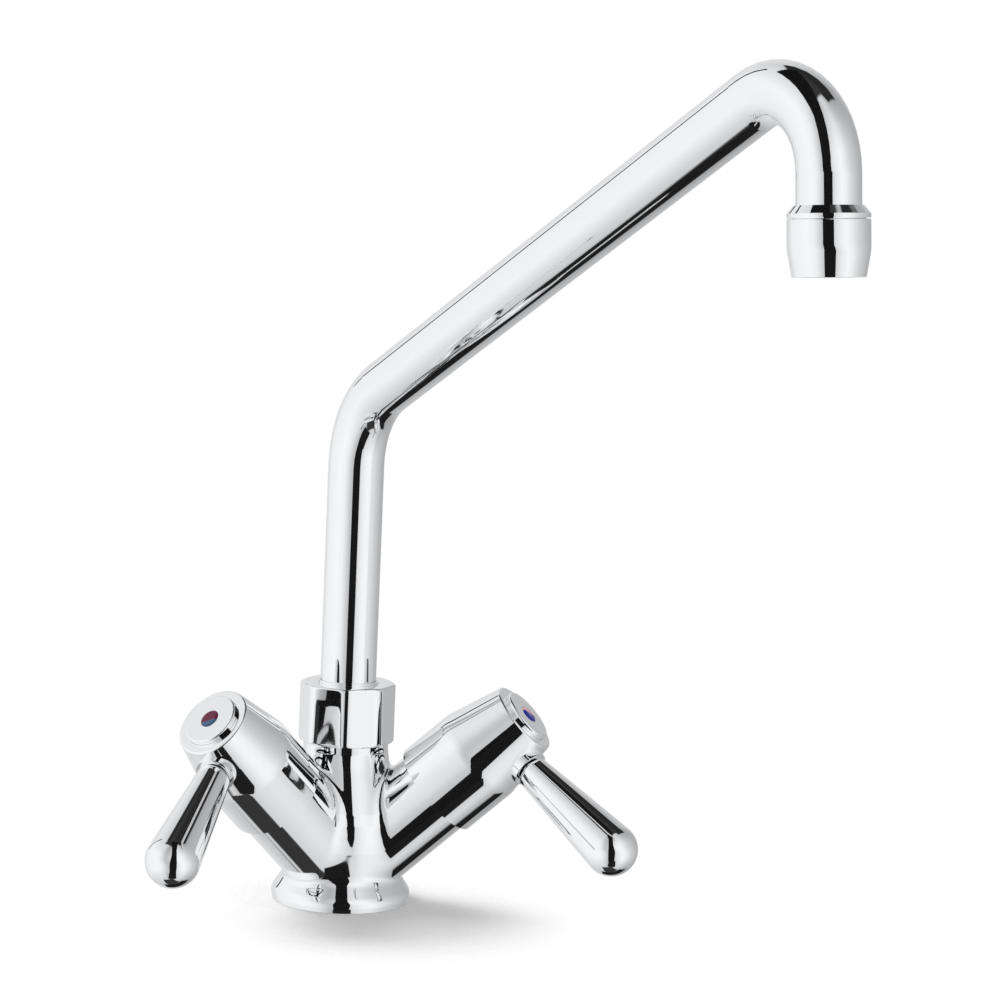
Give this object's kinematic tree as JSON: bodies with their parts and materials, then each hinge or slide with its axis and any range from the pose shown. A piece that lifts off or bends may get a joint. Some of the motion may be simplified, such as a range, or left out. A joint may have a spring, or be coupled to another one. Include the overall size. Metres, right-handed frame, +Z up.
{
  "type": "two handle kitchen faucet",
  "caption": "Deck mounted mixer tap with two inclined lever valves and a tall swivelling angled tube spout that ends in an aerator.",
  "frame": {"origin": "centre of the foot's underside, at deck level", "axes": "+Z up along the column, -Y towards the front, between the handles, +X towards the cold handle"},
  "size_m": [0.1594, 0.2544, 0.2783],
  "materials": {
    "chrome_plate": "polished plate",
    "brass": "machined",
    "black_rubber": "moulded",
    "ceramic_disc": "lapped",
    "spring_steel": "bright",
    "pale_plastic": "moulded",
    "hot_lens_plastic": "clear red insert",
    "cold_lens_plastic": "clear blue insert"
  },
  "bodies": {
    "base": {"faucet_body": "chrome_plate", "base_seal": "black_rubber", "spout_nut": "chrome_plate", "spout_slip_ring": "chrome_plate", "hot_headwork_body": "brass", "hot_flange_seal": "black_rubber", "hot_inlet_seal": "black_rubber", "hot_fixed_disc": "ceramic_disc", "cold_headwork_body": "brass", "cold_flange_seal": "black_rubber", "cold_inlet_seal": "black_rubber", "cold_fixed_disc": "ceramic_disc"},
    "spout": {"spout_spigot": "brass", "spout_o_ring_lower": "black_rubber", "spout_o_ring_upper": "black_rubber", "spout_tube": "chrome_plate", "outlet_adaptor": "chrome_plate", "aerator_housing": "chrome_plate", "aerator_gasket": "black_rubber", "aerator_insert": "pale_plastic", "aerator_screen": "spring_steel"},
    "hot_handle": {"hot_turning_disc": "ceramic_disc", "hot_spindle": "brass", "hot_spindle_o_ring": "black_rubber", "hot_spindle_clip": "spring_steel", "hot_hood": "chrome_plate", "hot_lever": "chrome_plate", "hot_index_button": "chrome_plate", "hot_index_lens": "hot_lens_plastic", "hot_handle_screw": "spring_steel"},
    "cold_handle": {"cold_turning_disc": "ceramic_disc", "cold_spindle": "brass", "cold_spindle_o_ring": "black_rubber", "cold_spindle_clip": "spring_steel", "cold_hood": "chrome_plate", "cold_lever": "chrome_plate", "cold_index_button": "chrome_plate", "cold_index_lens": "cold_lens_plastic", "cold_handle_screw": "spring_steel"}
  },
  "joints": [
    {"name": "spout_swivel", "type": "hinge", "parent": "base", "child": "spout", "pos_m": [0, 0, 0.06], "axis": [0, 0, 1], "continuous": true},
    {"name": "hot_quarter_turn", "type": "hinge", "parent": "base", "child": "hot_handle", "pos_m": [0, 0, 0.0102], "axis": [-0.641, -0.3582, 0.6788], "range_deg": [0, 90]},
    {"name": "cold_quarter_turn", "type": "hinge", "parent": "base", "child": "cold_handle", "pos_m": [0, 0, 0.0102], "axis": [0.641, -0.3582, 0.6788], "range_deg": [-90, 0]}
  ]
}
